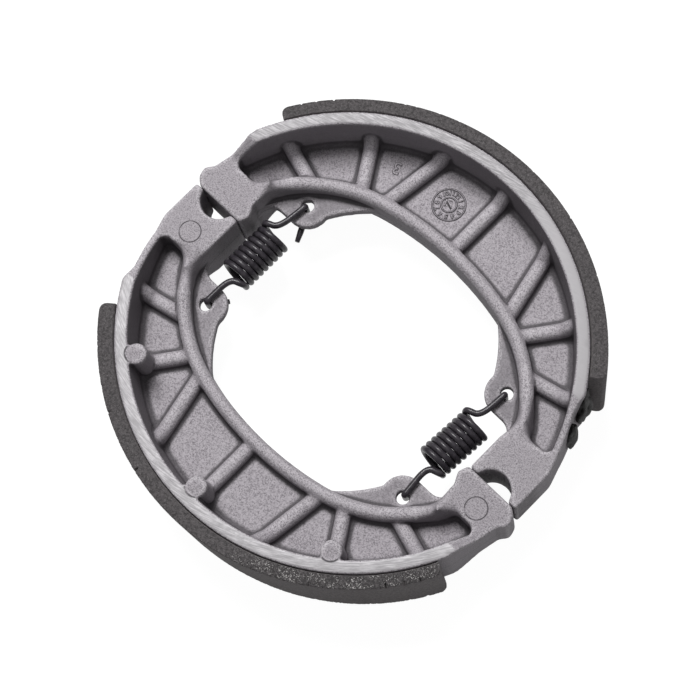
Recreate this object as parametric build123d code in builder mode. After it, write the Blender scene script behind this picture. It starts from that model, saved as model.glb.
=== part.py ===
"""A set of two drum brake shoes held together by two return springs, for a 110 mm drum.

The pair lies flat: Z is up along the drum's axis, Y runs through the middle of both shoes and X
through the two places where their ends meet. The origin is under the centre of the pair. Both
shoes are drawn with the lining towards +Y and the notched end towards +X.
"""
from build123d import *
from math import asin, cos, degrees, hypot, radians, sin, sqrt
import os

# Driving dimensions of the castings' rim, web and end blocks, in millimetres and degrees
rim_radius = 51.0
rim_wall = 2.8
rim_draft = 0.4
shoe_width = 23.0
closed_offset = 2.8
contact_offset = 2.0
web_thickness = 2.6
root_chamfer = 0.8
block_thickness = 14.6
block_width = 12.6
anchor_inset = 8.6
pin_diameter = 8.5
notch_depth = 3.55
edge_chamfer = 0.4
pocket_end = 10.5
pocket_wall = 2.0
pocket_fillet = 1.8
ramp_foot = 11.5
flat_ramp_top = 16.4
notch_ramp_top = 22.5
flat_rim_end = 18.4
flat_rim_step = 1.6
notch_rim_end = 24.0
notch_rim_step = 3.8
notch_flank = 7.8
notch_taper = 11.2
end_corner = 3.0
flank_corner = 1.5
nose_corner = 1.4

# Driving dimensions of the ridge along the web's inner edge
ridge_crown = 28.6
ridge_width = 3.0
ridge_height = 9.4
ridge_chamfer = 0.9
crown_radius = 75.0
crown_half_angle = 13.1
ridge_reach = 6.5
shoulder_angle = 22.0
saddle_angle = 29.0

# Driving dimensions of the spring ears, the ribs and the ejector bosses
hole_diameter = 2.8
notch_hole_inset = 6.2
notch_hole_height = 15.0
flat_hole_inset = 6.5
flat_hole_height = 15.5
ear_radius = 4.75
ear_root = 17.5
ear_sweep = 31.0
ear_fillet = 3.0
rib_width = 3.2
rib_height = 2.4
rib_chamfer = 0.9
rib_flare = 3.0
boss_diameter = 4.6
boss_setback = 0.25
boss_inset = 1.7
boss_bearings = (128.1, 89.6, 50.5)

# Each rib's bearing on the rim and the place along X where it leaves the ridge
ribs = [
    (148.9, -31.5),
    (127.6, -22.5),
    (108.3, -17.3),
    (89.4, 0.5),
    (71.3, 19.1),
    (50.5, 23.2),
    (31.6, 30.5),
]

# Driving dimensions of the linings and springs
lining_angle = 115.0
lining_a_start_angle = 33.5
lining_b_start_angle = 38.5
lining_thick_end = 3.65
lining_thin_end = 2.9
lining_inset = 0.2
lining_corner = 1.0
wire_diameter = 1.4
coil_diameter = 8.0
wire_sides = 6
coil_turns = 8.5
turn_steps = 12
coil_gap = 0.04
hook_bend = 0.5
hook_shift = 0.3
hook_clearance = 0.06
straight_tail = (0, -3.0)
left_upper_tail = (3.1, -6.2)
left_lower_tail = (-3.0, -3.05)
left_coil_shift = -0.35
left_coil_tilt = 0.0
right_coil_shift = -0.6
right_coil_tilt = -3.75

# Places worked out from the driving dimensions
mid_plane = shoe_width / 2
rim_bore = rim_radius - rim_wall
rim_middle = rim_radius - rim_wall / 2
arc_centre = (0, -closed_offset)
anchor_offset = rim_radius - anchor_inset
block_inner = anchor_offset - block_width / 2
block_outer = anchor_offset + block_width / 2
block_top = mid_plane + block_thickness / 2
column = block_inner + pocket_wall
block_end = pocket_end + pocket_wall
notch_hole = (block_inner - notch_hole_inset, notch_hole_height)
flat_hole = (block_inner - flat_hole_inset, flat_hole_height)
wire = wire_diameter / 2
winding = coil_diameter / 2 - wire
coil_pitch = wire_diameter + coil_gap
coil_length = coil_pitch * coil_turns
crown_centre = (0, ridge_crown - crown_radius)
turn_x = crown_radius * sin(radians(crown_half_angle))
turn_y = crown_centre[1] + crown_radius * cos(radians(crown_half_angle))
shoulder_radius = (block_inner + ridge_reach - turn_x) / (1 - sin(radians(crown_half_angle)))
shoulder_x = turn_x - shoulder_radius * sin(radians(crown_half_angle))
shoulder_y = turn_y - shoulder_radius * cos(radians(crown_half_angle))


def on_rim(radius, bearing):
    """The point at a radius and bearing about the centre of the rim."""
    angle = radians(bearing)
    return (radius * cos(angle), radius * sin(angle) - closed_offset)


def circle_x(radius, y):
    """How far from the middle a circle about the centre of the rim lies at a height."""
    return sqrt(radius**2 - (y + closed_offset) ** 2)


def ridge_y(x, shift=0.0):
    """Height of the ridge's centre line at a place along X, or of a line beside it."""
    if abs(x) <= turn_x:
        return crown_centre[1] + sqrt((crown_radius + shift) ** 2 - x**2)
    return shoulder_y + sqrt((shoulder_radius + shift) ** 2 - (abs(x) - shoulder_x) ** 2)


def outer_outline():
    """Plan of the whole shoe outside the ridge: rim, ends and contact faces."""
    notch_side = [
        (block_inner, -contact_offset),
        (block_outer, -contact_offset),
        (block_outer, notch_flank),
        (block_outer - 1.1, notch_taper),
        (circle_x(rim_radius, notch_rim_end - notch_rim_step) - 1.6, notch_rim_end - notch_rim_step),
        (circle_x(rim_radius, notch_rim_end), notch_rim_end),
    ]
    flat_side = [
        (-circle_x(rim_radius, flat_rim_end), flat_rim_end),
        (-circle_x(rim_radius, flat_rim_end - flat_rim_step) + 0.4, flat_rim_end - flat_rim_step),
        (-block_outer + 0.9, 11.5),
        (-block_outer, 7.3),
        (-block_outer - 1.4, 5.6),
        (-block_outer - 0.9, 3.4),
        (-block_outer + 0.9, contact_offset),
        (-block_inner + 0.3, contact_offset),
        (-block_inner + 1.2, 4.3),
        (-block_inner - 0.2, 6.8),
        (-block_inner, 9.2),
        (-block_inner, block_end),
    ]
    with BuildSketch() as plan:
        with BuildLine():
            notch_edge = FilletPolyline(notch_side, radius=[0, end_corner, 0, 0])
            flat_corners = [0, 0, 0, 0, flank_corner, 0, 0, nose_corner, nose_corner, 0]
            flat_edge = FilletPolyline(flat_side, radius=flat_corners)
            RadiusArc(notch_edge @ 1, flat_edge @ 0, -rim_radius)
            Line(flat_edge @ 1, (block_inner, block_end))
            Line((block_inner, block_end), notch_edge @ 0)
        make_face()
    return plan.sketch


def pocket_outline():
    """Plan of the hollow between the end blocks, as far out as the rim's bore."""
    corner = circle_x(rim_bore, pocket_end)
    with BuildSketch() as plan:
        with BuildLine():
            RadiusArc((-corner, pocket_end), (corner, pocket_end), rim_bore)
            Polyline(
                (corner, pocket_end),
                (column, pocket_end),
                (column, block_end + 1),
                (block_inner, block_end),
                (-block_inner, block_end),
                (-column, block_end + 1),
                (-column, pocket_end),
                (-corner, pocket_end),
            )
        make_face()
        fillet(plan.vertices().group_by(Axis.Y)[0], pocket_fillet)
    return plan.sketch


def ear_outline(hole, side):
    """Plan of one spring ear, from the ridge round its hole and back to the end block."""
    tip = (hole[0] + ear_radius * cos(radians(170)), hole[1] + ear_radius * sin(radians(170)))
    root = (ear_root, ridge_y(ear_root, -ridge_width / 2))
    lower = hole[1] - ear_radius
    with BuildSketch() as plan:
        with BuildLine():
            RadiusArc(root, tip, ear_sweep)
            RadiusArc(tip, (hole[0], lower), -ear_radius, short_sagitta=True)
            FilletPolyline(
                (hole[0], lower),
                (block_inner, lower),
                (block_inner, lower - ear_fillet - 1),
                (column, lower - ear_fillet - 1),
                (column, pocket_end + 1),
                radius=[ear_fillet, 0, 0],
            )
            Polyline(
                (column, pocket_end + 1),
                (hole[0] + ridge_width, ridge_y(hole[0] + ridge_width)),
                (ear_root, ridge_y(ear_root)),
                root,
            )
        make_face()
        with Locations(hole):
            Circle(hole_diameter / 2, mode=Mode.SUBTRACT)
        if side < 0:
            mirror(about=Plane.YZ, mode=Mode.REPLACE)
    return plan.sketch


def web_outline():
    """Plan of the web between the ridge's centre line and the middle of the rim."""
    low = pocket_end - 1
    reach = circle_x(rim_middle, low)
    with BuildSketch() as plan:
        with BuildLine():
            RadiusArc((-reach, low), (reach, low), rim_middle)
            Polyline((reach, low), (column, low), (column, ridge_y(column)))
            RadiusArc((column, ridge_y(column)), (turn_x, turn_y), -shoulder_radius)
            RadiusArc((turn_x, turn_y), (-turn_x, turn_y), -crown_radius)
            RadiusArc((-turn_x, turn_y), (-column, ridge_y(column)), -shoulder_radius)
            Polyline((-column, ridge_y(column)), (-column, low), (-reach, low))
        make_face()
    return plan.sketch


def shoe_plan(low, high):
    """Plan of the rim and end blocks between two heights along Y."""
    notch_centre = (anchor_offset, notch_depth - contact_offset - pin_diameter / 2)
    with BuildSketch() as plan:
        add(outer_outline())
        add(pocket_outline(), mode=Mode.SUBTRACT)
        with Locations(notch_centre):
            Circle(pin_diameter / 2, mode=Mode.SUBTRACT)
        with Locations((0, (low + high) / 2)):
            Rectangle(3 * rim_radius, high - low, mode=Mode.INTERSECT)
    return plan.sketch


def ramp_cut(high, side):
    """What is cut from one end above and below the end block, down to its sloping shoulder."""
    beyond = ramp_foot - rim_radius
    over = 2 * shoe_width
    with BuildPart() as cut:
        with BuildSketch(Plane.YZ):
            with BuildLine():
                Polyline(
                    (beyond, block_top),
                    (ramp_foot, block_top),
                    (high, shoe_width),
                    (high, over),
                    (beyond, over),
                    close=True,
                )
            make_face()
        extrude(amount=side * 2 * rim_radius)
        mirror(about=Plane.XY.offset(mid_plane))
    return cut.part


def rib(bearing, foot_x):
    """One rib across the web, its crest bevelled, flaring up the rim at its outer end."""
    foot = (foot_x, ridge_y(foot_x))
    wall = on_rim(rim_bore, bearing)
    length = hypot(wall[0] - foot[0], wall[1] - foot[1])
    buried = length + rim_wall / 2
    along = ((wall[0] - foot[0]) / length, (wall[1] - foot[1]) / length, 0)
    side_plane = Plane(origin=(*foot, mid_plane), x_dir=along, z_dir=(along[1], -along[0], 0))
    top = web_thickness / 2 + rib_height
    with BuildPart() as bar:
        with BuildSketch(side_plane):
            with BuildLine():
                Polyline(
                    (0, 0),
                    (0, top),
                    (length - rib_flare, top),
                    (length, top + rib_flare),
                    (buried, top + rib_flare),
                    (buried, 0),
                    close=True,
                )
            make_face()
            mirror(about=Plane(side_plane.origin, x_dir=side_plane.x_dir, z_dir=(0, 0, 1)))
        extrude(amount=rib_width / 2, both=True)
        flanks = bar.faces().filter_by(Axis(side_plane.origin, side_plane.z_dir))
        upright = Axis.Z.direction
        crests = flanks.edges().filter_by(lambda edge: abs((edge % 0.5).dot(upright)) < 0.9)
        chamfer(crests, rib_chamfer)
    return bar.part


def ridge_section(centre, radius, bearing):
    """The plane across the ridge at a bearing about the centre of one of its arcs."""
    out = (cos(radians(bearing)), sin(radians(bearing)), 0)
    origin = (centre[0] + radius * out[0], centre[1] + radius * out[1], mid_plane)
    return Plane(origin=origin, x_dir=out, z_dir=(out[1], -out[0], 0))


def ridge():
    """The rail along the web's inner edge, its corners taken off, rising to the end blocks."""
    shoulder = (shoulder_x, shoulder_y)
    turn = 90 - crown_half_angle
    rise = turn - shoulder_angle
    with BuildPart() as rail:
        with BuildSketch(ridge_section(crown_centre, crown_radius, 180 - turn)) as section:
            Rectangle(ridge_width, ridge_height)
            chamfer(section.vertices(), ridge_chamfer)
        revolve(axis=Axis((*crown_centre, 0), (0, 0, 1)), revolution_arc=-2 * crown_half_angle)
        with BuildSketch(ridge_section(shoulder, shoulder_radius, turn)) as section:
            Rectangle(ridge_width, ridge_height)
            chamfer(section.vertices(), ridge_chamfer)
        revolve(axis=Axis((*shoulder, 0), (0, 0, 1)), revolution_arc=-shoulder_angle)
        with BuildLine(Plane.XY.offset(mid_plane)):
            path = CenterArc(shoulder, shoulder_radius, rise, -saddle_angle)
        with BuildSketch(ridge_section(shoulder, shoulder_radius, rise)) as low_end:
            Rectangle(ridge_width, ridge_height)
            chamfer(low_end.vertices(), ridge_chamfer)
        with BuildSketch(ridge_section(shoulder, shoulder_radius, rise - saddle_angle)) as high_end:
            Rectangle(ridge_width, block_thickness)
            chamfer(high_end.vertices(), ridge_chamfer)
        sweep([low_end.sketch, high_end.sketch], path=path, multisection=True)
        mirror(about=Plane.YZ)
    return rail.part


def rim_root():
    """The draft of the rim's bore and the bevel where it meets the web."""
    start = degrees(asin((pocket_end + closed_offset) / rim_bore))
    out = (cos(radians(start)), sin(radians(start)), 0)
    plane = Plane(origin=(*arc_centre, mid_plane), x_dir=out, z_dir=(out[1], -out[0], 0))
    inner = rim_bore - rim_draft
    face = web_thickness / 2
    with BuildPart() as root:
        with BuildSketch(plane):
            with BuildLine():
                Polyline(
                    (rim_middle, 0),
                    (inner - root_chamfer, 0),
                    (inner - root_chamfer, face),
                    (inner, face + root_chamfer),
                    (rim_bore, shoe_width / 2),
                    (rim_middle, shoe_width / 2),
                    close=True,
                )
            make_face()
        revolve(axis=Axis((*arc_centre, 0), (0, 0, 1)), revolution_arc=180 - 2 * start)
        mirror(about=Plane.XY.offset(mid_plane))
    return root.part


def end_blocks():
    """The two end blocks as far as they reach into the rim, their contact faces' edges eased."""
    with BuildPart() as blocks:
        with BuildSketch(Plane.XY.offset(mid_plane)):
            add(shoe_plan(-rim_radius, flat_ramp_top))
        extrude(amount=block_thickness / 2, both=True)
        flats = blocks.faces().filter_by(Axis.Z)
        chamfer(flats.edges().filter_by(Axis.X), edge_chamfer)
    return blocks.part


def bare_casting():
    """One shoe's casting without its ejector bosses."""
    with BuildPart() as shoe:
        with BuildSketch():
            add(shoe_plan(ramp_foot, 2 * rim_radius))
        extrude(amount=shoe_width)
        add(rim_root())
        add([ramp_cut(notch_ramp_top, 1), ramp_cut(flat_ramp_top, -1)], mode=Mode.SUBTRACT)
        with BuildSketch(Plane.XY.offset(mid_plane)):
            add(web_outline())
            add(ear_outline(notch_hole, 1))
            add(ear_outline(flat_hole, -1))
        extrude(amount=web_thickness / 2, both=True)
        add([end_blocks(), ridge()] + [rib(bearing, foot_x) for bearing, foot_x in ribs])
    return shoe.part


def shoe_casting(bare, side):
    """A casting with its three ejector bosses, on top for a side of 1 and underneath for -1."""
    with BuildPart() as shoe:
        add(bare)
        with BuildSketch(Plane.XY.offset(mid_plane)):
            for bearing in boss_bearings:
                with Locations(on_rim(rim_bore - boss_inset, bearing)):
                    Circle(boss_diameter / 2)
        extrude(amount=side * (shoe_width / 2 - boss_setback))
    return shoe.part


def lining(start):
    """One bonded lining from its end near the notch, thinner towards the flat end."""
    walls = (lining_thick_end, (lining_thick_end + lining_thin_end) / 2, lining_thin_end)
    bearings = (start, start + lining_angle / 2, start + lining_angle)
    outside = [on_rim(rim_radius + wall, bearing) for wall, bearing in zip(walls, bearings)]
    inside = [on_rim(rim_radius, bearing) for bearing in bearings]
    with BuildPart() as pad:
        with BuildSketch(Plane.XY.offset(lining_inset)) as profile:
            with BuildLine():
                ThreePointArc(*outside)
                Line(outside[2], inside[2])
                ThreePointArc(*reversed(inside))
                Line(inside[0], outside[0])
            make_face()
            outer_corners = profile.vertices().filter_by(
                lambda corner: hypot(corner.X, corner.Y + closed_offset) > rim_radius + lining_corner
            )
            fillet(outer_corners, lining_corner)
        extrude(amount=shoe_width - 2 * lining_inset)
    return pad.part


def coil_points():
    """Points along the wire of a coil about Y, from its end over +X to its end over -X."""
    count = round(coil_turns * turn_steps)
    turns = [radians(360 * step / turn_steps) for step in range(count + 1)]
    rises = [coil_length * (step / count - 1 / 2) for step in range(count + 1)]
    return [
        Vector(winding * cos(turn), rise, mid_plane - winding * sin(turn))
        for turn, rise in zip(turns, rises)
    ]


def hook_points(shift, tilt, hole, tail):
    """Points of one hook: up from a tilted coil's rim, over the ear, down its hole and back underneath."""
    over = mid_plane + web_thickness / 2 + wire + hook_clearance
    under = mid_plane - web_thickness / 2 - wire - hook_clearance
    seat = hole[1] - hole_diameter / 2 + wire + hook_clearance
    leaving = [
        Vector(-winding, coil_length / 2, mid_plane),
        Vector(-winding, coil_length / 2 + hook_clearance, over),
        Vector(-hook_shift, coil_length / 2 + wire_diameter, over),
    ]
    corners = [
        *[Vector(shift, 0, 0) + point.rotate(Axis.Z, tilt) for point in leaving],
        Vector(hole[0], seat, over),
        Vector(hole[0], seat, under),
        Vector(hole[0] + tail[0], seat + tail[1], under),
    ]
    bent = []
    for before, corner, after in zip(corners, corners[1:], corners[2:]):
        bent.append(corner + (before - corner).normalized() * hook_bend)
        bent.append(corner + (after - corner).normalized() * hook_bend)
    return bent + [corners[-1]]


def return_spring(side, shift, tilt, upper_tail, lower_tail):
    """A close-wound spring hooked through both shoes' ears. side is the sign of its X; shift and
    tilt move its coil off the line between the two holes."""
    flat_ear = (-flat_hole[0], flat_hole[1])
    upper, lower = (notch_hole, flat_ear) if side > 0 else (flat_ear, notch_hole)
    axis_x = (upper[0] - lower[0]) / 2 + shift
    coil = [Vector(axis_x, 0, 0) + point.rotate(Axis.Z, tilt) for point in coil_points()]
    lower_hook = [point.rotate(Axis.Z, 180) for point in hook_points(-axis_x, tilt, lower, lower_tail)]
    upper_hook = hook_points(axis_x, tilt, upper, upper_tail)
    with BuildPart() as spring:
        with BuildLine() as centre_line:
            Polyline(*reversed(lower_hook), *coil, *upper_hook)
        path = centre_line.wire()
        with BuildSketch(Plane(origin=path @ 0, z_dir=path % 0)):
            RegularPolygon(wire, wire_sides)
        sweep(path=path, transition=Transition.RIGHT)
    return spring.part


bare = bare_casting()
pieces = {
    "shoe_casting_a": shoe_casting(bare, -1),
    "shoe_casting_b": shoe_casting(bare, 1).rotate(Axis.Z, 180),
    "lining_a": lining(lining_a_start_angle),
    "lining_b": lining(lining_b_start_angle).rotate(Axis.Z, 180),
    "return_spring_left": return_spring(
        -1, left_coil_shift, left_coil_tilt, left_upper_tail, left_lower_tail
    ),
    "return_spring_right": return_spring(
        1, right_coil_shift, right_coil_tilt, straight_tail, straight_tail
    ),
}
os.makedirs("parts", exist_ok=True)
for name, piece in pieces.items():
    piece.label = name
    export_step(piece, f"parts/{name}.step")
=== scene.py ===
import math
import bmesh
import bpy
import numpy as np
from mathutils import Matrix, Vector


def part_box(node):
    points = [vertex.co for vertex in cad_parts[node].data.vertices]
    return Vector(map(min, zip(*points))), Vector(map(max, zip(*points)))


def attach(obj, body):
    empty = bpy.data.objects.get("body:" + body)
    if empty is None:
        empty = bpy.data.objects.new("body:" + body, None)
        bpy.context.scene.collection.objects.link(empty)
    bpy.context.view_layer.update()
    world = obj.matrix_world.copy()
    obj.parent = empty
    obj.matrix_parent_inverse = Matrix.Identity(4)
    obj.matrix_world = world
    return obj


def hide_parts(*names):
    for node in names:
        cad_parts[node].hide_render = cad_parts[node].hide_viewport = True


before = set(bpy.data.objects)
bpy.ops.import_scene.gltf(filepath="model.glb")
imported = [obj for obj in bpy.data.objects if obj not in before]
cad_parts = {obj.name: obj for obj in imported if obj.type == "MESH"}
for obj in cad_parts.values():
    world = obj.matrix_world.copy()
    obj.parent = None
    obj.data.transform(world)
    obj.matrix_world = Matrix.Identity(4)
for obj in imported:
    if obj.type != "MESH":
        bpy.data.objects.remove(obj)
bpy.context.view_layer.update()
# Sizes are written in millimetres, and times MM they are Blender's metres.
MM = 0.001

# Camera
# It looks down on the set from 400 mm, leaning towards the notched end of shoe a. The turn and the
# shift were fitted to the photograph, and the view's upper edge lies towards -X and +Y.
shoe_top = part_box("shoe_casting_a")[1][2]
mid = shoe_top / MM / 2
camera_x = 102.8 * MM
camera_y = -45.6 * MM
camera_above = 383.9 * MM
camera_lens = 100.6
picture_side = 700
picture_shift = (1.2, -14.6)
picture_up = Vector((-1, 1, 0))
eye = Vector((camera_x, camera_y, camera_above + shoe_top))
forward = (Vector((0, 0, shoe_top)) - eye).normalized()
right = forward.cross(picture_up).normalized()
facing = Matrix((right, right.cross(forward), -forward)).transposed()
camera = bpy.data.objects.new("camera", bpy.data.cameras.new("camera"))
camera.data.sensor_width = 36
camera.data.lens = camera_lens
camera.data.shift_x = picture_shift[0] / picture_side
camera.data.shift_y = picture_shift[1] / picture_side
camera.data.clip_start = 10 * MM
camera.matrix_world = Matrix.Translation(eye) @ facing.to_4x4()
bpy.context.scene.collection.objects.link(camera)
bpy.context.scene.camera = camera


# The two castings
# Each shoe is one pressure die casting in aluminium: rim, web, ribs, ridge, spring ears and end
# blocks. The skin stays as it left the die, grey and sandy with soft corners, and only the rim's
# two side faces are milled bright. The ejector pins left rings on the end blocks of shoe b.
weld_gap = 0.001 * MM
casting_voxel = 0.3 * MM
casting_smoothing = 8
blend_rounds = 140
blend_reach = 5.0 * MM
blend_strength = 1.4
ridge_ends = ((37.2, 13.1), (38.4, 11.0), (-37.6, 12.6))
ridge_levels = (17.0, 6.0)
casting_triangles = 190000
crease_rounds = 12
crease_depth = 0.06 * MM
milled_depth = 0.12 * MM
rim_radius = 51.0
rim_bore = 48.2
closed_offset = 2.8
crown_centre_y = -46.4
crown_radius = 75.0
ear_reach = 36.2
ear_fade = 0.7
# Each pair gives where a change over the surface begins and where it ends; the ear and bore pairs bound
# painted shade.
ridge_fade = (1.6, 0.6)
milled_fade = (0.14, 0.06)
ear_shade_band = (2.0, 2.6)
block_skin = (6.6, 7.0)
bore_band = (0.7, 1.2)
bore_shade = (-22, 14)
pin_level = (0.35, 0.55)
parting_line = (0.05, 0.16)
pin_edge = 0.05
pin_line = 0.11
boss_line = 0.16
# The mill's streaks are so many to a millimetre, and fade over so many millimetres to each side.
streaks_across = 3.6
streaks_along = 0.30
streak_fade = 10
cast_colour = (0.395, 0.367, 0.395, 1)
cast_speck = (0.130, 0.118, 0.130, 1)
# Painted shade for faces that turn sideways.
painted_wall_shade = (0.190, 0.174, 0.192, 1)
# Painted shade on the low ears inside the ridge; the same colour also darkens the end blocks' tops.
cast_ear = (0.150, 0.138, 0.150, 1)
# Painted shadow on the rim's bore wall.
painted_bore_shadow = (0.085, 0.076, 0.084, 1)
# Painted shade in corners and creases, also the dark of the parting line and the pin rings.
crease_shade_and_dark_lines = (0.040, 0.035, 0.040, 1)
cast_edge = (0.560, 0.535, 0.560, 1)
milled_colour = (0.47, 0.455, 0.47, 1)
milled_groove = (0.20, 0.192, 0.20, 1)
end_pins = [(-43.0, 7.3, 2.35, 18.8), (41.8, 6.6, 2.35, 18.8)]
boss_pins = [(-28.7, 33.8, 2.25, 22.8), (0.3, 43.7, 2.25, 22.8), (29.6, 33.1, 2.25, 22.8)]
parting_height = 11.5


def smoothed(points, edges, free, rounds):
    """Moves each free point half way to the mean of its neighbours, as many times as rounds says."""
    count = len(points)
    ends = np.concatenate([edges[:, 0], edges[:, 1]])
    others = np.concatenate([edges[:, 1], edges[:, 0]])
    degree = np.maximum(np.bincount(ends, minlength=count), 1)[:, None]
    for _ in range(rounds):
        total = np.stack([np.bincount(ends, points[others, axis], count) for axis in range(3)], axis=1)
        points = points + 0.5 * free[:, None] * (total / degree - points)
    return points


def read_values(items, name, width, kind=np.float64):
    """One named value of each item of a mesh, as an array with a row for each item."""
    values = np.empty(len(items) * width, dtype=kind)
    items.foreach_get(name, values)
    return values.reshape(-1, width)


def applied(piece):
    """Puts the piece's modifiers into its mesh and takes them off."""
    graph = bpy.context.evaluated_depsgraph_get()
    piece.data = bpy.data.meshes.new_from_object(piece.evaluated_get(graph))
    piece.modifiers.clear()


def rounded_casting(node, blends):
    """The node's solid with every as-cast corner rounded. Its surface is drawn again on a fine grid,
    and each point off the milled faces is averaged with its neighbours, many times more where the
    ridge runs into an end block. How far still more averaging would lift a point along its normal is
    kept as crease: above 0 in a corner and below 0 on an edge."""
    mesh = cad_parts[node].data.copy()
    mesh.materials.clear()
    welded = bmesh.new()
    welded.from_mesh(mesh)
    bmesh.ops.remove_doubles(welded, verts=welded.verts, dist=weld_gap)
    welded.to_mesh(mesh)
    welded.free()
    piece = bpy.data.objects.new(node.replace("casting", "form"), mesh)
    bpy.context.scene.collection.objects.link(piece)
    remesh = piece.modifiers.new("fine grid", "REMESH")
    remesh.mode = "VOXEL"
    remesh.voxel_size = casting_voxel
    applied(piece)
    points = read_values(piece.data.vertices, "co", 3)
    edges = read_values(piece.data.edges, "vertices", 2, np.int32)
    height = points[:, 2]
    free = np.where((height > shoe_top - milled_depth) | (height < milled_depth), 0.0, 1.0)
    points = smoothed(points, edges, free, casting_smoothing)
    for blend in blends:
        gap = np.linalg.norm(points - np.array(blend) * MM, axis=1)
        weight = free * np.clip(blend_strength - blend_strength * gap / blend_reach, 0, 1)
        near = edges[(weight[edges] > 0).any(axis=1)]
        points = smoothed(points, near, weight, blend_rounds)
    piece.data.vertices.foreach_set("co", points.ravel())
    piece.data.update()
    normals = read_values(piece.data.vertices, "normal", 3)
    lift = smoothed(points, edges, np.ones(len(points)), crease_rounds) - points
    crease = np.einsum("ij,ij->i", lift, normals) / crease_depth
    stored = piece.data.attributes.new("crease", "FLOAT", "POINT")
    stored.data.foreach_set("value", crease)
    thin = piece.modifiers.new("fewer faces", "DECIMATE")
    thin.ratio = casting_triangles / (2 * len(piece.data.polygons))
    applied(piece)
    piece.data.shade_smooth()
    return piece


class Shade:
    """A shader socket that takes part in Python sums: each operator adds the Math node it stands for."""

    def __init__(self, tree, socket):
        self.tree = tree
        self.socket = socket

    def node(self, kind, sockets=(), out=0, **settings):
        """Adds a node of a type, with its settings first and then its sockets' values or links."""
        made = self.tree.nodes.new(kind)
        for key, value in settings.items():
            setattr(made, key, value)
        for key, value in dict(sockets).items():
            if isinstance(value, Shade):
                self.tree.links.new(value.socket, made.inputs[key])
            else:
                made.inputs[key].default_value = value
        return Shade(self.tree, made.outputs[out])

    def math(self, operation, *values):
        """A Math node of one operation on numbers and sockets."""
        return self.node("ShaderNodeMath", enumerate(values), operation=operation)

    def mix(self, first, second):
        """The first colour where this value is 0 and the second where it is 1."""
        return self.node("ShaderNodeMix", {0: self, 6: first, 7: second}, out=2, data_type="RGBA")

    def step(self, low, high):
        """0 below low, 1 above high and smooth between."""
        inputs = {0: self, 1: low, 2: high}
        return self.node("ShaderNodeMapRange", inputs, interpolation_type="SMOOTHSTEP")

    def __abs__(self):
        return self.math("ABSOLUTE", self)

    def __add__(self, other):
        return self.math("ADD", self, other)

    def __sub__(self, other):
        return self.math("SUBTRACT", self, other)

    def __rsub__(self, other):
        return self.math("SUBTRACT", other, self)

    def __mul__(self, other):
        return self.math("MULTIPLY", self, other)

    def __pow__(self, other):
        return self.math("POWER", self, other)

    __radd__ = __add__
    __rmul__ = __mul__


def new_material(name):
    """A new material, its main shader node and a Shade to build its nodes from."""
    material = bpy.data.materials.new(name)
    material.use_nodes = True
    shader = material.node_tree.nodes["Principled BSDF"]
    return material, shader, Shade(material.node_tree, None)


def feed(value, shader, socket):
    """Links a worked-out value to one socket of the shader."""
    value.tree.links.new(value.socket, shader.inputs[socket])


def parts_of(vector):
    """The X, Y and Z of a vector."""
    return [vector.node("ShaderNodeSeparateXYZ", {0: vector}, out=axis) for axis in range(3)]


def noise(place, scale, detail=2.0, rough=0.5):
    """Noise from 0 to 1 with so many lumps to a millimetre."""
    inputs = {"Vector": place, "Scale": scale, "Detail": detail, "Roughness": rough}
    return place.node("ShaderNodeTexNoise", inputs)


def own_place(start, turn):
    """The place on a shoe in its own millimetres, turned back by the angle that the shoe is turned."""
    place = start.node("ShaderNodeTexCoord", out="Object")
    inputs = {"Vector": place, "Rotation": (0, 0, turn), "Scale": (1 / MM, 1 / MM, 1 / MM)}
    return start.node("ShaderNodeMapping", inputs)


def upward(start):
    """How far the surface faces straight up or down, from 0 to 1."""
    return abs(parts_of(start.node("ShaderNodeNewGeometry", out="Normal"))[2])


def away(x, y, centre):
    """How far a place is from a centre, in plan."""
    return ((x - centre[0]) ** 2.0 + (y - centre[1]) ** 2.0) ** 0.5


def bumped(start, height):
    """A surface normal tilted by the slope of a height in millimetres."""
    return start.node("ShaderNodeBump", {"Distance": MM, "Height": height})


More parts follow.
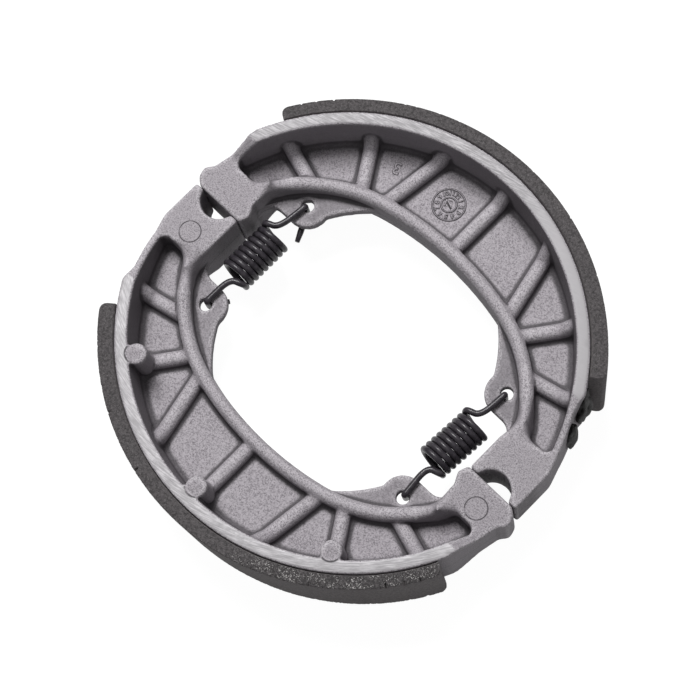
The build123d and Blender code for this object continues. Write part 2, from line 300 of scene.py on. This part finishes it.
def cast_material(name, turn, mill, smooth_from, milled_level, ear_shade, pins):
    """As-cast aluminium with milled rim faces, as bright as milled_level. The mill's streaks are circles
    round the X and Y that mill gives before their usual distance, and fade where X passes smooth_from.
    The skin inside the ridge is painted darker by ear_shade, as shade on the low ears. Each ejector pin
    gives the X, Y, radius and height of a ring, and the skin inside it isn't milled."""
    material, shader, start = new_material(name)
    place = own_place(start, turn)
    x, y, z = parts_of(place)
    flat = upward(start)
    level_skin = flat.step(0.8, 0.95)
    from_mid = abs(z - mid)
    crease = start.node("ShaderNodeAttribute", out="Fac", attribute_name="crease")
    milled = flat.step(0.90, 0.97) * from_mid.step(mid - milled_fade[0], mid - milled_fade[1])
    ring = 0.0
    for pin_x, pin_y, pin_radius, level in pins:
        distance = away(x, y, (pin_x, pin_y))
        line = boss_line if level > end_pins[0][3] else pin_line
        here = 1 - abs(z - level).step(*pin_level)
        ring = (1 - abs(distance - pin_radius).step(line / 2, line * 1.5)) * here + ring
        milled = milled * (1 - (1 - distance.step(pin_radius - pin_edge, pin_radius + pin_edge)) * here)

    sand = noise(place, 3.4, 3.0, 0.80)
    pits = noise(place, 1.5, 2.0, 0.80)
    cloud = noise(place, 0.09, 3.0)
    colour = (sand.step(0.38, 0.56) * 0.80 + 0.20).mix(cast_speck, cast_colour)
    colour = (pits.step(0.60, 0.70) * 0.45).mix(colour, cast_speck)
    # Inside the ridge the low ears are painted darker: painted shade.
    from_crown = away(x, y, (0, crown_centre_y))
    inside = 1 - from_crown.step(crown_radius - ridge_fade[0], crown_radius - ridge_fade[1])
    inside = inside * (1 - away(x, y, (0, 0)).step(ear_reach - ear_fade, ear_reach + ear_fade))
    colour = (inside * level_skin * (1 - from_mid.step(*ear_shade_band)) * ear_shade).mix(colour, cast_ear)
    colour = (cloud.step(0.40, 0.80) * 0.16).mix(colour, cast_edge)
    colour = (from_mid.step(*block_skin) * 0.18).mix(colour, cast_ear)
    # Faces that turn sideways are painted darker: painted shade where the light only grazes them.
    colour = ((1 - flat.step(0.25, 0.98)) * 0.80).mix(colour, painted_wall_shade)
    # The rim's bore wall is painted darker, more so towards +X: painted shadow inside the rim.
    from_bore = abs(away(x, y, (0, -closed_offset)) - rim_bore)
    bore = (1 - from_bore.step(*bore_band)) * (1 - flat.step(0.3, 0.8))
    colour = (bore * x.step(*bore_shade) * 0.75).mix(colour, painted_bore_shadow)
    # Corners and creases are painted darker: painted shade in them.
    colour = (crease.step(0.15, 1.1) * 0.85).mix(colour, crease_shade_and_dark_lines)
    colour = ((0 - crease).step(0.25, 1.4) * sand.step(0.40, 0.60) * 0.6).mix(colour, cast_edge)
    parting = (1 - abs(z - parting_height).step(*parting_line)) * (1 - flat.step(0.2, 0.5))
    colour = (parting * 0.5).mix(colour, crease_shade_and_dark_lines)

    mill_x, mill_y, mill_reach = mill
    radial = away(x, y, (mill_x, mill_y))
    bearing = start.math("ARCTAN2", y - mill_y, x - mill_x)
    inputs = {"X": radial * streaks_across, "Y": bearing * (streaks_along * mill_reach)}
    streak = noise(start.node("ShaderNodeCombineXYZ", inputs), 1.0, 4.0, 0.70)
    strength = 1 - x.step(smooth_from - streak_fade, smooth_from + streak_fade) * 0.93
    bright = (streak.step(0.38, 0.70) - 0.5) * strength * 0.85 + milled_level
    colour = milled.mix(colour, bright.mix(milled_groove, milled_colour))
    height = (sand * 0.10 - pits.step(0.5, 0.75) * 0.08) * (1 - milled)
    height = height + streak * strength * milled * 0.02 + parting * 0.10
    if pins:
        ring = ring * level_skin * (noise(place, 0.5).step(0.28, 0.50) * 0.6 + 0.4)
        colour = (ring * 0.85).mix(colour, crease_shade_and_dark_lines)
        height = height - ring * 0.10
    feed(colour, shader, "Base Color")
    feed(0.70 - milled * 0.15, shader, "Roughness")
    feed(0.10 + milled * 0.10, shader, "Metallic")
    feed(bumped(start, height), shader, "Normal")
    return material


cast_skins = {
    "shoe_casting_a": cast_material(
        "cast_a", turn=0.0, mill=(259.0, -921.0, 1000.0), smooth_from=8.0,
        milled_level=0.34, ear_shade=0.65, pins=[],
    ),
    "shoe_casting_b": cast_material(
        "cast_b", turn=math.pi, mill=(16.0, -20.0, 60.0), smooth_from=70.0,
        milled_level=0.66, ear_shade=0.45, pins=end_pins + boss_pins,
    ),
}
blends = [(x, y, z) for x, y in ridge_ends for z in ridge_levels]
for node, skin in cast_skins.items():
    side = 1 if node == "shoe_casting_a" else -1
    piece = rounded_casting(node, [(side * x, side * y, z) for x, y, z in blends])
    piece.data.materials.append(skin)
    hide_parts(node)
    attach(piece, "root")


# The foundry's marks on shoe a
# A dial for the casting date and a cavity number stand proud of the web by the depth to which they
# were cut into the die. Both are plain: a ring of month numbers round an arrow, and one figure. A
# thin dark sheet round the foot of each of them is painted shadow.
web_top = 12.8
mark_height = 0.22
line_height = 0.04
line_width = 0.13
dial_centre = (-7.47, 36.24)
dial_radius = 3.55
dial_hub = 1.65
dial_wire = 0.10
dial_stations = 72
dial_wire_sides = 8
dial_number_size = 1.35
dial_arrow_size = dial_hub * 1.9
dial_arrow_turn = math.radians(70)
cavity_centre = (-21.47, 34.64)
cavity_size = 3.9
cavity_turn = math.radians(-155)
# Colour of the painted shadow round the raised marks.
mark_shadow_colour = (0.050, 0.045, 0.050, 1)


def grid_mesh(name, points, caps):
    """A piece from rows of points: neighbours along and between rows are joined by quads, each row
    closes on itself, and the last row joins the first, or with caps both ends get a face."""
    rows, columns = points.shape[:2]
    index = np.arange(rows * columns).reshape(rows, columns)
    here = index[:-1] if caps else index
    following = index[1:] if caps else np.roll(index, -1, axis=0)
    corners = [here, np.roll(here, -1, axis=1), np.roll(following, -1, axis=1), following]
    faces = np.stack(corners, axis=-1).reshape(-1, 4).tolist()
    if caps:
        faces += [index[0][::-1].tolist(), index[-1].tolist()]
    mesh = bpy.data.meshes.new(name)
    mesh.from_pydata((points.reshape(-1, 3) * MM).tolist(), [], faces)
    mesh.shade_smooth()
    piece = bpy.data.objects.new(name, mesh)
    bpy.context.scene.collection.objects.link(piece)
    return piece


def raised_ring(name, centre, radius, wire, height):
    """A half-round ring on the web: an ellipse carried round the dial's centre, half of it in the web."""
    around = np.linspace(0, 2 * math.pi, dial_stations, endpoint=False)[:, None]
    across = np.linspace(0, -2 * math.pi, dial_wire_sides, endpoint=False)[None, :]
    reach = radius + wire * np.cos(across)
    points = [
        centre[0] + reach * np.cos(around),
        centre[1] + reach * np.sin(around),
        web_top + height * np.sin(across) + 0 * around,
    ]
    return grid_mesh(name, np.stack(points, axis=-1), caps=False)


def raised_figure(name, text, size, centre, turn, grown, height):
    """A figure in the plain built-in face, grown by a width all round, standing so high on the web and
    as deep in it."""
    curve = bpy.data.curves.new(name, "FONT")
    curve.body = text
    curve.size = size * MM
    curve.align_x = "CENTER"
    curve.align_y = "CENTER"
    curve.offset = grown * MM
    curve.extrude = height * MM
    curve.resolution_u = 3
    piece = bpy.data.objects.new(name, curve)
    bpy.context.scene.collection.objects.link(piece)
    graph = bpy.context.evaluated_depsgraph_get()
    mesh = bpy.data.meshes.new_from_object(piece.evaluated_get(graph))
    bpy.data.objects.remove(piece)
    place = Matrix.Translation((centre[0] * MM, centre[1] * MM, web_top * MM))
    mesh.transform(place @ Matrix.Rotation(turn, 4, "Z"))
    mesh.materials.clear()
    piece = bpy.data.objects.new(name, mesh)
    bpy.context.scene.collection.objects.link(piece)
    return piece


# A thin dark sheet round each raised mark: painted shadow at its foot.
mark_shadow, shader, start = new_material("painted_mark_shadow")
shader.inputs["Base Color"].default_value = mark_shadow_colour
shader.inputs["Roughness"].default_value = 0.8
figures = [
    ("cavity_number", "3", cavity_size, cavity_centre, cavity_turn),
    ("dial_arrow", "\u2191", dial_arrow_size, dial_centre, dial_arrow_turn),
]
for month in range(1, 13):
    turn = math.radians(90 - 30 * month)
    reach = (dial_radius + dial_hub) / 2
    centre = (dial_centre[0] + reach * math.cos(turn), dial_centre[1] + reach * math.sin(turn))
    figures.append((f"dial_number_{month}", str(month), dial_number_size, centre, turn - math.pi / 2))
skin = cast_skins["shoe_casting_a"]
marks = []
for figure in figures:
    marks.append((raised_figure(*figure, 0.0, mark_height), skin))
    marks.append((raised_figure(figure[0] + "_painted_shadow", *figure[1:], line_width, line_height), mark_shadow))
for name, radius in (("dial_rim", dial_radius), ("dial_hub", dial_hub)):
    marks.append((raised_ring(name, dial_centre, radius, dial_wire, mark_height), skin))
    outline = (name + "_painted_shadow", dial_centre, radius, dial_wire + line_width, line_height)
    marks.append((raised_ring(*outline), mark_shadow))
for piece, material in marks:
    piece.data.materials.append(material)
    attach(piece, "root")


# The linings
# Each is a curved block of moulded friction material bonded to the rim and ground on its outer
# face, a little thinner towards the flat end. Its sides are rough, with bright chips of brass and
# mineral in a dark binder, and its outer edges are chipped here and there.
lining_thick_end = 3.65
lining_thin_end = 2.9
lining_inset = 0.2
lining_end_corner = 1.5
lining_edge = 0.22
lining_stations = 720
side_steps = 8
corner_points = 5
wall_points = 20
chip_cells = 170
chip_rarity = 0.9
chip_most = 1.2
chip_depth = 0.45
chip_grain = 0.05
chip_spread_up = 0.5
chip_spread_in = 0.02
rough_cells = 360
rough_depth = 0.02
broken_arc = 10
lining_crease = math.radians(50)
lining_seed = 11
lining_tint = (0.088, 0.080, 0.083, 1)
lining_dark = (0.036, 0.033, 0.034, 1)
lining_chip = (0.55, 0.53, 0.52, 1)
lining_ground = (0.185, 0.170, 0.172, 1)


def soft_random(shape, cells, seed):
    """Random numbers about zero on a coarse grid of cells, spread evenly over a finer grid."""
    coarse = np.random.default_rng(seed).standard_normal(cells)
    spread = [
        np.clip(1 - np.abs(np.linspace(0, few - 1, many)[:, None] - np.arange(few)), 0, 1)
        for many, few in zip(shape, cells)
    ]
    return spread[0] @ coarse @ spread[1].T


def lining_form(node, start, span, turn, chipping, broken, seed):
    """A rectangle with eased outer corners carried round the rim. Its inner side stays on the rim, but
    for one step at the top, where the bond line shows as a groove. Its thickness falls evenly along
    the arc and drops away over the rounded ends. Chips are the peaks of a random field, taken off
    the outer corners, and broken is how far the thick end leans back from bottom to top.

    The outline's points follow each other over the under side, a corner, the outer face, a corner,
    the upper side and the inner face. Share is how far out each lies, and eased what its corner
    takes off."""
    angle = np.linspace(0, span, lining_stations)[:, None]
    gap = np.minimum(angle, span - angle) * math.radians(1) * rim_radius
    dropped = 1 - np.sqrt(1 - np.clip(1 - gap / lining_end_corner, 0, 1) ** 2)
    wall = lining_thick_end + (lining_thin_end - lining_thick_end) * angle / span
    wall = wall - lining_end_corner * dropped
    low, high = lining_inset, 2 * mid - lining_inset
    full = high - low
    tall = full - 2 * lining_edge
    quarter = np.radians(np.linspace(0, 90, corner_points))
    side = np.linspace(0, 1, side_steps + 1)[:-1]
    back = side[::-1] + 1 / side_steps
    up = np.linspace(0, 1, wall_points + 2)[1:-1]
    outer_face = np.ones(2 * corner_points + wall_points)
    flat_wall = np.zeros(wall_points)
    share = np.concatenate([side, outer_face, back, flat_wall])
    eased = np.concatenate([-side, np.sin(quarter) - 1, flat_wall, np.cos(quarter) - 1, -back, flat_wall])
    eased = np.clip(eased, -1, 0) * lining_edge
    level = np.concatenate([
        np.zeros(side_steps),
        lining_edge * (1 - np.cos(quarter)),
        lining_edge + up * tall,
        lining_edge + tall + lining_edge * np.sin(quarter),
        np.full(side_steps, full),
        full * up[::-1],
    ])
    shape = (lining_stations, len(level))
    outside = np.exp(-((share - 1) ** 2) / chip_spread_in)
    corners = np.exp(-((level - full) ** 2) / chip_spread_up) + np.exp(-(level**2) / chip_spread_up)
    depth = np.clip(soft_random(shape, (chip_cells, 2), seed) - chip_rarity, 0, chip_most)
    fine = np.clip(soft_random(shape, (rough_cells, len(level)), seed + 1), -1.5, 1.5)
    chip = chipping * (chip_depth * depth + chip_grain * np.abs(fine)) * corners * outside
    radius = rim_radius + share * wall + eased - chip * (share > 0.5)
    rough = rough_depth * fine * (share > 0.05) * (share < 0.999)
    inward = np.where(level > full / 2, -1.0, 1.0)
    level = low + level + inward * (chip + np.abs(rough))
    leaning = broken * np.clip(1 - angle / broken_arc, 0, 1) * level / (2 * mid) / rim_radius
    bearing = np.radians(start + angle) + leaning + turn
    centre_y = -closed_offset * math.cos(turn)
    points = [radius * np.cos(bearing), radius * np.sin(bearing) + centre_y, level]
    piece = grid_mesh(node + "_block", np.stack(points, axis=-1)[:, ::-1], caps=True)
    piece.data.set_sharp_from_angle(angle=lining_crease)
    return piece


def lining_material(name, turn, glitter):
    """Dark friction material: ground smoother on its outer face and rough on its sides, which glitter
    where X is below glitter."""
    material, shader, start = new_material(name)
    place = own_place(start, turn)
    side = upward(start).step(0.5, 0.8)
    grain = noise(place, 1.9, 4.0, 0.72)
    fine = noise(place, 4.5, 2.0, 0.6)
    x = parts_of(place)[0]
    patch = 1 - (x + noise(place, 0.14, 2.0) * 16).step(glitter - 6, glitter + 6)
    cluster = noise(place, 0.45, 2.0).step(0.36, 0.60)
    shiny = fine.step(0.57, 0.64) * (patch * cluster * 0.85 + 0.12)
    chips = shiny * side + fine.step(0.64, 0.76) * (1 - side) * 0.2
    # In the patch the low places of the rough sides take the dark binder colour: partly the binder and
    # partly painted shade in the pits.
    pit_binder_and_shade = patch * (1 - grain.step(0.48, 0.62)) * side
    rough_side = grain.step(0.34, 0.62).mix(lining_dark, lining_tint)
    ground = grain.step(0.30, 0.70).mix(lining_tint, lining_ground)
    colour = chips.mix((pit_binder_and_shade * 0.8).mix(side.mix(ground, rough_side), lining_dark), lining_chip)
    feed(colour, shader, "Base Color")
    feed(0.88 - chips * 0.45, shader, "Roughness")
    height = (grain * 0.35 + fine * 0.12) * side + (grain * 0.08 + fine * 0.04) * (1 - side)
    feed(bumped(start, height), shader, "Normal")
    return material


for node, start_angle, span, turn, chipping, broken, glitter in (
    ("lining_a", 34.2, 114.3, 0.0, 0.5, 1.6, -70.0),
    ("lining_b", 37.9, 115.0, math.pi, 1.7, 0.0, -10.0),
):
    piece = lining_form(node, start_angle, span, turn, chipping, broken, lining_seed)
    piece.data.materials.append(lining_material(node + "_friction", turn, glitter))
    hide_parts(node)
    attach(piece, "root")


# The squeezed-out glue
# The lining of shoe a was bonded with black glue under heat, and some of it was pressed out past
# the lining's thick end and set in lumps on the bare wall of the casting.
# Each lump's centre, how far it runs along the wall and stands out of it, its level and half height.
glue_lumps = (((43.2, 23.7), 2.9, 1.6, (12.5, 8.5)), ((45.5, 17.9), 2.0, 1.2, (11.5, 7.5)))
glue_wall_turn = math.radians(112)
glue_sides = 40
glue_rings = 30
glue_pole = 0.02
glue_unevenness = 0.16
glue_cells = (9, 12)
glue_seed = 20
glue_dark = (0.004, 0.004, 0.004, 1)
glue_light = (0.014, 0.013, 0.013, 1)


def glue_lump(name, centre, along, proud, upright, seed):
    """An egg of three half-axes, along the wall, out of it and upright, its radius lifted and sunk by
    a random field."""
    around = np.linspace(0, 2 * math.pi, glue_sides, endpoint=False)[None, :]
    down = np.linspace(glue_pole, math.pi - glue_pole, glue_rings)[:, None]
    field = soft_random((glue_rings, glue_sides + 1), glue_cells, seed)[:, :glue_sides]
    uneven = 1 + glue_unevenness * field * np.sin(down)
    run = along * np.sin(down) * np.cos(around) * uneven
    out = proud * np.sin(down) * np.sin(around) * uneven
    lift = upright[1] * np.cos(down) * uneven
    wall = (math.cos(glue_wall_turn), math.sin(glue_wall_turn))
    points = [
        centre[0] + run * wall[0] + out * wall[1],
        centre[1] + run * wall[1] - out * wall[0],
        upright[0] + lift + 0 * around,
    ]
    return grid_mesh(name, np.stack(points, axis=-1), caps=True)


material, shader, start = new_material("black_glue")
place = own_place(start, 0.0)
grain = noise(place, 1.4, 3.0, 0.6)
feed(grain.step(0.3, 0.7).mix(glue_dark, glue_light), shader, "Base Color")
feed(0.55 + grain * 0.3, shader, "Roughness")
shader.inputs["Specular IOR Level"].default_value = 0.25
feed(bumped(start, grain * 0.25), shader, "Normal")
for number, (centre, along, proud, upright) in enumerate(glue_lumps):
    piece = glue_lump(f"glue_lump_{number + 1}", centre, along, proud, upright, glue_seed + number)
    piece.data.materials.append(material)
    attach(piece, "root")


# The return springs
# Each is one length of black oiled spring wire, close wound, with a hook at each end that leaves
# the coil's rim, crosses towards its axis, runs over a shoe's ear, drops through the ear's hole and
# turns back underneath. The right one's coil hangs a little askew between its hooks.
wire_radius = 0.7
winding_radius = 3.3
coil_turns = 8.5
coil_pitch = 1.44
coil_half = coil_turns * coil_pitch / 2
turn_samples = 48
wire_sides = 16
wire_end = 0.75
first_across = (0.3, 0.5, 0.8)
ear_half = 1.3
hook_clearance = 0.06
hook_level = ear_half + wire_radius + hook_clearance
hook_shift = 0.3
hook_leaving = (0.08, 1.0)
hook_turning = (0.25, 0.45)
hook_crossing = 1.5
hook_bend = 0.9
tail_bend = 0.2
hook_rounds = 3
notch_hole = (29.9, 15.0)
flat_hole = (29.6, 15.5)
hole_radius = 1.4
wire_dark = (0.024, 0.021, 0.026, 1)
wire_light = (0.044, 0.039, 0.046, 1)
# The side of each spring, its coil's shift and tilt, and how far its upper and lower tails run on.
springs = {
    "return_spring_left": (-1, -0.35, 0.0, (3.1, -6.2), (-2.3, -3.7)),
    "return_spring_right": (1, -0.6, math.radians(-3.75), (0.0, -3.0), (0.0, -3.0)),
}


def turned(points, tilt, shift):
    """Points turned about Z and then moved along X."""
    x = points[:, 0] * math.cos(tilt) - points[:, 1] * math.sin(tilt) + shift
    y = points[:, 0] * math.sin(tilt) + points[:, 1] * math.cos(tilt)
    return np.stack([x, y, points[:, 2]], axis=1)


def cut_corners(points, rounds):
    """A smooth line from a bent one: each corner gives way to the points a quarter in, several times."""
    for _ in range(rounds):
        near = 0.75 * points[:-1] + 0.25 * points[1:]
        far = 0.25 * points[:-1] + 0.75 * points[1:]
        inner = np.stack([near, far], axis=1).reshape(-1, 3)
        points = np.concatenate([points[:1], inner[1:-1], points[-1:]])
    return points


def hook_line(tilt, shift, hole, tail):
    """The hook's centre line, from the coil's end to its tail's tip: a bent line through the places
    where it leaves the coil, crosses it, meets the ear, passes the hole and turns back, smoothed."""
    seat = hole[1] - hole_radius + wire_radius + hook_clearance
    above, below = mid + hook_level, mid - hook_level
    leaving = np.array([
        (-winding_radius, coil_half, mid),
        (-winding_radius, coil_half + hook_leaving[0], mid + hook_leaving[1]),
        (-winding_radius + hook_turning[0], coil_half + hook_turning[1], above),
        (-hook_shift, coil_half + hook_crossing, above),
    ])
    seated = np.array([
        (hole[0], seat - hook_bend, above),
        (hole[0], seat, above),
        (hole[0], seat, above - hook_bend),
        (hole[0], seat, below + hook_bend),
        (hole[0], seat, below),
        (hole[0] + tail_bend * tail[0], seat + tail_bend * tail[1], below),
        (hole[0] + tail[0], seat + tail[1], below),
    ])
    return cut_corners(np.concatenate([turned(leaving, tilt, shift), seated]), hook_rounds)


def wire(name, line, radius, sides):
    """A round wire along a line: each ring lies square to the line, and its first direction is the
    last ring's, turned as little as the line turns. The cut ends are a little rounded."""
    along = np.gradient(line, axis=0)
    along /= np.linalg.norm(along, axis=1)[:, None]
    across = [np.cross(along[0], first_across)]
    for direction in along[1:]:
        across.append(across[-1] - direction * across[-1].dot(direction))
    across = np.array(across)
    across /= np.linalg.norm(across, axis=1)[:, None]
    third = np.cross(along, across)
    round_wire = np.linspace(0, 2 * math.pi, sides, endpoint=False)[None, :, None]
    rings = across[:, None] * np.cos(round_wire) + third[:, None] * np.sin(round_wire)
    thickness = np.full((len(line), 1, 1), radius)
    thickness[[0, -1]] *= wire_end
    return grid_mesh(name, line[:, None] + thickness * rings, caps=True)


def spring_line(side, shift, tilt, upper_tail, lower_tail):
    """One spring's centre line: the lower hook backwards, the helix of the coil and the upper hook."""
    flat_ear = (-flat_hole[0], flat_hole[1])
    upper, lower = (notch_hole, flat_ear) if side > 0 else (flat_ear, notch_hole)
    axis_x = (upper[0] - lower[0]) / 2 + shift
    turns = np.linspace(0, coil_turns, round(coil_turns * turn_samples) + 1)
    angle = 2 * math.pi * turns
    helix = [
        winding_radius * np.cos(angle),
        coil_pitch * turns - coil_half,
        mid - winding_radius * np.sin(angle),
    ]
    coil = turned(np.stack(helix, axis=1), tilt, axis_x)
    lower_hook = hook_line(tilt, -axis_x, lower, lower_tail) * (-1, -1, 1)
    upper_hook = hook_line(tilt, axis_x, upper, upper_tail)
    return np.concatenate([lower_hook[:0:-1], coil, upper_hook[1:]])


material, shader, start = new_material("oiled_spring_wire")
place = own_place(start, 0.0)
film = noise(place, 0.9, 3.0, 0.6)
feed(film.step(0.35, 0.7).mix(wire_dark, wire_light), shader, "Base Color")
feed(0.30 + film * 0.20, shader, "Roughness")
feed(bumped(start, film * 0.05), shader, "Normal")
shader.inputs["Specular IOR Level"].default_value = 0.25
shader.inputs["Coat Weight"].default_value = 0.18
shader.inputs["Coat Roughness"].default_value = 0.12
for node, layout in springs.items():
    piece = wire(node + "_wire", spring_line(*layout), wire_radius, wire_sides)
    piece.data.materials.append(material)
    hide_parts(node)
    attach(piece, "root")


# The floor
# A plain white sheet that the set lies on, a hair under the castings so that no skin of theirs lies
# in it. What looks at it sees it near white, and it still takes a soft contact shadow.
floor_half = 3.0
floor_level = -0.02 * MM
floor_bouncing = (0.40, 0.40, 0.40, 1)
floor_seen = (0.12, 0.12, 0.12, 1)
floor_dark = (0, 0, 0, 1)
floor_glow = (0.96, 0.96, 0.96, 1)
floor = bpy.data.objects.new("floor", bpy.data.meshes.new("floor"))
corners = [(-1, -1), (1, -1), (1, 1), (-1, 1)]
places = [(x * floor_half, y * floor_half, floor_level) for x, y in corners]
floor.data.from_pydata(places, [], [(0, 1, 2, 3)])
bpy.context.scene.collection.objects.link(floor)
material, shader, start = new_material("white_floor")
seen = start.node("ShaderNodeLightPath", out="Is Camera Ray")
for ray in ("Is Glossy Ray", "Is Transmission Ray"):
    seen = seen.math("MAXIMUM", seen, start.node("ShaderNodeLightPath", out=ray))
feed(seen.mix(floor_bouncing, floor_seen), shader, "Base Color")
feed(seen.mix(floor_dark, floor_glow), shader, "Emission Color")
shader.inputs["Emission Strength"].default_value = 1.0
shader.inputs["Roughness"].default_value = 1.0
shader.inputs["Specular IOR Level"].default_value = 0.0
floor.data.materials.append(material)


# The lights
# A soft box above the set, leaning well towards the view's upper edge, and a low even sky.
sky_colour = (1, 1, 1, 1)
sky_strength = 0.29
box_side = 0.36
box_watts = 8.5
box_place = (-0.36, 0.22, 0.76)
world = bpy.data.worlds.new("studio")
world.use_nodes = True
world.node_tree.nodes["Background"].inputs["Color"].default_value = sky_colour
world.node_tree.nodes["Background"].inputs["Strength"].default_value = sky_strength
bpy.context.scene.world = world
soft_box = bpy.data.objects.new("soft_box", bpy.data.lights.new("soft_box", "AREA"))
soft_box.data.size = box_side
soft_box.data.energy = box_watts
soft_box.location = box_place
soft_box.rotation_euler = soft_box.location.to_track_quat("Z", "Y").to_euler()
bpy.context.scene.collection.objects.link(soft_box)

bpy.context.scene.view_settings.view_transform = "Standard"
